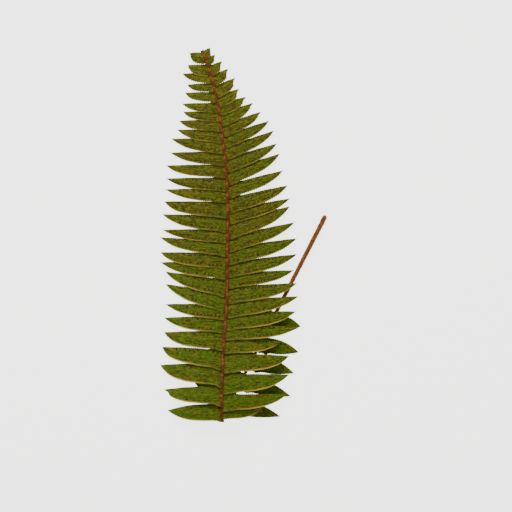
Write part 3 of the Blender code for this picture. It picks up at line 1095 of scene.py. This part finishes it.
    def mottling(
        self, tree: Tree, local: object, aside: object, colour: object
    ) -> tuple[bpy.types.NodeSocket, bpy.types.NodeSocket]:
        """Streaks and flecks in dark, yellow and rust over the ground colour.

        Args:
            tree: the material's tree.
            local: the place on the leaflet in mm, along and across it.
            aside: how near the margin that is, from 0 to 1.
            colour: the ground colour.

        Returns:
            The flecks' noise, for the relief, and the mottled colour.
        """
        found = []
        for size, detail, start in (
            (self.streak_mm, 2.0, 0.0), (self.fleck_mm, 2.0, 40.0), (self.fleck_mm, 1.0, 80.0),
            (self.speck_mm, 1.0, 120.0),
        ):
            scale = (1 / size[0], 1 / size[1], 1.0)
            spot = tree.add("Mapping", local, (start, start, start), None, scale)
            found.append(tree.add("TexNoise", spot, 1.0, detail))
        streak, fleck, glint, speck = found
        colour = tree.lay(colour, self.straw, streak, 0.5, 0.66, 0.75)
        colour = tree.lay(colour, self.dark, streak, 0.46, 0.3, 0.8)
        colour = tree.lay(colour, self.dark, fleck, 0.5, 0.66, 0.8)
        colour = tree.lay(colour, self.yellow, glint, 0.54, 0.66, 0.75)
        outer = tree.add("MapRange", aside, 0.35, 0.7, -0.02, 0.06)
        speck = tree.add("Math", speck, outer, operation="ADD")
        return fleck, tree.lay(colour, self.rust, speck, 0.67, 0.74, 0.8)

    def veins(self, tree: Tree, s: object, across: object, aside: object) -> bpy.types.NodeSocket:
        """Slanting side veins, one to each tooth and twice as many past the fork.

        The real ones are 0.1 mm wide, and these are drawn at 0.4 mm so that they show.

        Args:
            tree: the material's tree.
            s: the distance along the leaflet in mm.
            across: the distance from its midrib in mm.
            aside: how near the margin that is, from 0 to 1.

        Returns:
            The veins' share, 1 along the middle of each.
        """
        slant = tree.add("Math", across, self.vein_slant, operation="MULTIPLY")
        slanted = tree.add("Math", s, slant, operation="SUBTRACT")
        phase = tree.add("Math", slanted, self.vein_pitch_mm, operation="DIVIDE")
        lines = []
        for count in (1.0, 2.0):
            turns = tree.add("Math", phase, count, operation="MULTIPLY")
            turn = tree.add("Math", turns, operation="FRACT")
            off = tree.add("Math", turn, 0.5, operation="SUBTRACT")
            gap = tree.add("Math", off, operation="ABSOLUTE")
            edge = 0.5 - self.vein_width * count
            lines.append(tree.add("MapRange", gap, 0.5, edge, 1.0, 0.0))
        fork = tree.add("MapRange", aside, 0.42, 0.5, 0.0, 1.0)
        return tree.add("Mix", fork, *lines)

    def edge_highlight_share(self, tree: Tree, v: object, place: object, u: object) -> bpy.types.NodeSocket:
        """How much of the painted highlight along the raised lower margin shows, strongest near the
        frond's foot.

        Args:
            tree: the material's tree.
            v: the place across the leaflet.
            place: how near the frond's tip the leaflet is.
            u: the place along it.

        Returns:
            The share.
        """
        share = tree.add("MapRange", v, -0.9, -0.83, 1.0, 0.0)
        for part in (
            (place, 0.1, 0.65, 1.0, 0.35), (u, 0.15, 0.55, 0.15, 1.0), (u, 0.9, 0.97, 1.0, 0.0)
        ):
            less = tree.add("MapRange", *part)
            share = tree.add("Math", share, less, operation="MULTIPLY")
        return share


@dataclass(frozen=True)
class SporeSkin:
    """Ripe spore clusters: matt grains under a thin shield, dark round a paler middle."""

    grain: str = "#3c2806"
    shield: str = "#5c3a10"
    middle: str = "#2a1c04"
    grain_size_mm: float = 0.25

    def build(self) -> bpy.types.Material:
        """The material, from each dot's ring and shade."""
        tree = Tree.new("spore clusters")
        ring, shade = (
            tree.add("Attribute", attribute_name=key, out="Fac") for key in ("dot_r", "dot_t")
        )
        place = tree.add("TexCoord", out="Object")
        grains = tree.add("TexNoise", place, 1 / (self.grain_size_mm * MM * 2), 2.0)
        colour = tree.lay(self.shield, self.grain, ring, 0.25, 0.7, 1.0)
        colour = tree.lay(colour, self.middle, ring, 0.2, 0.05, 1.0)
        colour = tree.lay(colour, self.shield, shade, 0, 1, 0.45)
        colour = tree.lay(colour, self.middle, grains, 0.45, 0.7, 0.5)
        tree.use(colour, 0.82, grains, 0.00012)
        return tree.material


@dataclass(frozen=True)
class StemBark:
    """Rachis and stem, dry to the touch: dark red-brown above and orange-brown on the stem."""

    stem: str = "#a3652c"
    stem_dark: str = "#7e4614"
    rachis: str = "#7c4a1c"
    # orange-brown: the rib's own orange at the joints, and painted highlight in streaks along the rib
    orange_and_highlight: str = "#a8662c"
    dark: str = "#4a2806"
    tan: str = "#b49a45"
    streak_mm: float = 4.0
    gloss: float = 0.2

    def build(self) -> bpy.types.Material:
        """The material, from the distance along the rib and round it."""
        tree = Tree.new("stem bark")
        s, around, swell, on_stem = (
            tree.add("Attribute", attribute_name=f"rib_{key}", out="Fac")
            for key in ("s", "a", "j", "k")
        )
        turn = tree.add("Math", around, math.tau, operation="MULTIPLY")
        sides = []
        for way in ("COSINE", "SINE"):
            side = tree.add("Math", turn, operation=way)
            sides.append(tree.add("Math", side, 0.9, operation="MULTIPLY"))
        run = tree.add("Math", s, self.streak_mm, operation="DIVIDE")
        streak = tree.add("TexNoise", tree.add("CombineXYZ", run, *sides), 1.3, 3.0)
        grain = tree.add("TexNoise", tree.add("TexCoord", out="Object"), 900.0, 2.0)
        wood = tree.lay(self.stem_dark, self.stem, streak, 0.42, 0.6, 1.0)
        # the orange streaks along the rib are partly painted highlight
        rib = tree.lay(self.rachis, self.orange_and_highlight, streak, 0.47, 0.6, 1.0)
        rib = tree.lay(rib, self.dark, streak, 0.46, 0.34, 0.9)
        rib = tree.lay(rib, self.orange_and_highlight, swell, 0.2, 0.7, 0.85)
        rib = tree.lay(rib, self.tan, swell, 0.85, 1.0, 0.5)
        colour = tree.add("Mix", on_stem, rib, wood, data_type="RGBA")
        colour = tree.lay(colour, self.dark, grain, 0.55, 0.7, 0.4)
        raised = tree.add("Math", grain, 0.6, operation="MULTIPLY")
        relief = tree.add("Math", streak, raised, operation="ADD")
        tree.plug(tree.shader.inputs["Specular IOR Level"], self.gloss)
        tree.use(colour, tree.add("MapRange", grain, 0.3, 0.7, 0.55, 0.7), relief, 0.0002)
        return tree.material


@dataclass(frozen=True)
class ChaffPaper:
    """Chaffy scales, thin and dry: pale brown, darker at the root."""

    root: str = "#5e3510"
    tip: str = "#a4713a"

    def build(self) -> bpy.types.Material:
        """The material, from each scale's length and shade."""
        tree = Tree.new("chaff paper")
        t, shade = (
            tree.add("Attribute", attribute_name=key, out="Fac") for key in ("chaff_u", "chaff_t")
        )
        paler = tree.add("MapRange", t, 0.0, 0.8, 0.0, 0.75)
        stray = tree.add("MapRange", shade, 0, 1, -0.3, 0.3)
        mixed = tree.add("Math", paler, stray, operation="ADD")
        colour = tree.lay(self.root, self.tip, mixed, 0, 1, 1.0)
        grain = tree.add("TexNoise", tree.add("TexCoord", out="Object"), 1500.0, 1.0)
        tree.use(colour, tree.add("MapRange", grain, 0.3, 0.7, 0.6, 0.75), grain, 0.00005)
        return tree.material


# The studio


@dataclass(frozen=True)
class Studio:
    """A plain pale floor, soft light and a camera that looks straight down."""

    pixel_mm: float = 1.15
    image_px: int = 512
    route_zero_px: tuple = (244.5, 233.0)
    leaf_height_mm: float = 10.0
    distance: float = 2.4
    sensor_mm: float = 36.0
    floor_size: float = 5.0
    floor_gap_mm: float = 0.3
    floor_colour: str = "#f4f4f2"
    floor_grain: str = "#dddddb"
    floor_glow: float = 3.2
    world_strength: float = 0.205
    key_power: float = 26.5
    fill_power: float = 5.0

    def middle(self) -> tuple[float, float]:
        """Where the middle of the photograph falls in the frame, in metres."""
        half = self.image_px / 2
        x = (half - self.route_zero_px[0]) * self.pixel_mm - BOX_MIDDLE[0]
        y = (self.route_zero_px[1] - half) * self.pixel_mm - BOX_MIDDLE[1]
        return float(x * MM), float(y * MM)

    def camera(self) -> None:
        """A long lens straight above, framed so that a pixel is as wide as in the photograph."""
        data = bpy.data.cameras.new("camera")
        width = self.pixel_mm * self.image_px * MM
        data.sensor_width = self.sensor_mm
        data.lens = self.sensor_mm * (self.distance - self.leaf_height_mm * MM) / width
        camera = bpy.data.objects.new("camera", data)
        x, y = self.middle()
        camera.location = (x, y, self.distance)
        bpy.context.scene.collection.objects.link(camera)
        bpy.context.scene.camera = camera

    def floor(self) -> None:
        """A pale floor just under the frond."""
        half = self.floor_size / 2
        mesh = bpy.data.meshes.new("floor")
        low = -self.floor_gap_mm * MM
        square = [(-half, -half, low), (half, -half, low), (half, half, low), (-half, half, low)]
        mesh.from_pydata(square, [], [(0, 1, 2, 3)])
        floor = bpy.data.objects.new("floor", mesh)
        bpy.context.scene.collection.objects.link(floor)
        tree = Tree.new("floor paint")
        grain = tree.add("TexNoise", tree.add("TexCoord", out="Object"), 60.0, 2.0)
        tree.use(tree.lay(self.floor_colour, self.floor_grain, grain, 0, 1, 0.06), 0.9)
        tree.plug(tree.shader.inputs["Emission Color"], self.floor_colour)
        tree.plug(tree.shader.inputs["Emission Strength"], self.floor_glow)
        mesh.materials.append(tree.material)
        floor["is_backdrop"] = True

    def lamp(self, name: str, power: float, size: float, place: tuple, aim: tuple) -> None:
        """A square soft light at a place, pointed at another."""
        data = bpy.data.lights.new(name, "AREA")
        data.energy, data.size = power, size
        lamp = bpy.data.objects.new(name, data)
        lamp.location = place
        way = np.array(aim, dtype=float) - np.array(place, dtype=float)
        lamp.rotation_mode = "QUATERNION"
        lamp.rotation_quaternion = Vector(way).to_track_quat("-Z", "Y")
        bpy.context.scene.collection.objects.link(lamp)

    def light(self) -> None:
        """A key light from beyond the tip, a fill from the other side, and an even sky."""
        self.lamp("key", self.key_power, 0.9, (-0.5, 1.25, 1.55), (0, 0, 0))
        self.lamp("fill", self.fill_power, 1.4, (0.9, -0.9, 1.5), (0, 0, 0))
        world = bpy.data.worlds.new("studio")
        world.use_nodes = True
        sky = world.node_tree.nodes["Background"]
        sky.inputs["Color"].default_value = (1.0, 1.0, 1.0, 1)
        sky.inputs["Strength"].default_value = self.world_strength
        bpy.context.scene.world = world

    def build(self) -> None:
        """Sets up the floor, the lights and the camera."""
        self.camera()
        self.floor()
        self.light()


@dataclass
class Frond:
    """The whole frond: its rib, its leaflets, their spore dots and the rib's chaff."""

    skeleton: Skeleton = field(default_factory=Skeleton)
    low_share: float = 0.38

    def declare(self, piece: bpy.types.Object, material: bpy.types.Material) -> None:
        """Dresses a piece, hangs it on the body and hides the part's own mesh of the frond."""
        piece.data.materials.append(material)
        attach(piece, BODY)
        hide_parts(NODE)

    def rows(self) -> dict[str, list[Leaflet]]:
        """The leaflets by the piece that holds them."""
        rule = LeafletRule(self.skeleton)
        found: dict[str, list[Leaflet]] = {}
        for side in Side:
            for leaf in rule.blade(side):
                half = "low" if leaf.place < self.low_share else "high"
                found.setdefault(f"{side.name.lower()}_{half}", []).append(leaf)
        found["foot"] = list(rule.foot())
        return found

    def build(self) -> None:
        """Makes and declares every piece."""
        lamina = FernLamina().build()
        spores = SporeSkin().build()
        rows = self.rows()
        for name, leaflets in rows.items():
            self.declare(LeafletRow(f"leaflets_{name}", leaflets).build(), lamina)
        for name in ("left_low", "left_high", "right_low", "right_high"):
            dots = SporeDots(f"spore_dots_{name}", rows[name], seed=len(name) + ord(name[0]))
            self.declare(dots.build(), spores)
        everything = [leaf for row in rows.values() for leaf in row]
        skin = RachisSkin(self.skeleton, everything)
        self.declare(skin.build(), StemBark().build())
        self.declare(Chaff(skin).build(), ChaffPaper().build())


def corners(bounds: object) -> list[list[float]]:
    """A box's lowest and highest corners as plain lists of numbers."""
    return [[float(x) for x in corner] for corner in bounds]


def main() -> None:
    """Loads the frame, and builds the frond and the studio."""
    logging.basicConfig(level=logging.INFO, format="%(name)s %(message)s")
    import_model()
    cad = corners(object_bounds())
    Studio().build()
    Frond().build()
    {"cad": cad, "visual": corners(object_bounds())}


if __name__ == "__main__":
    main()
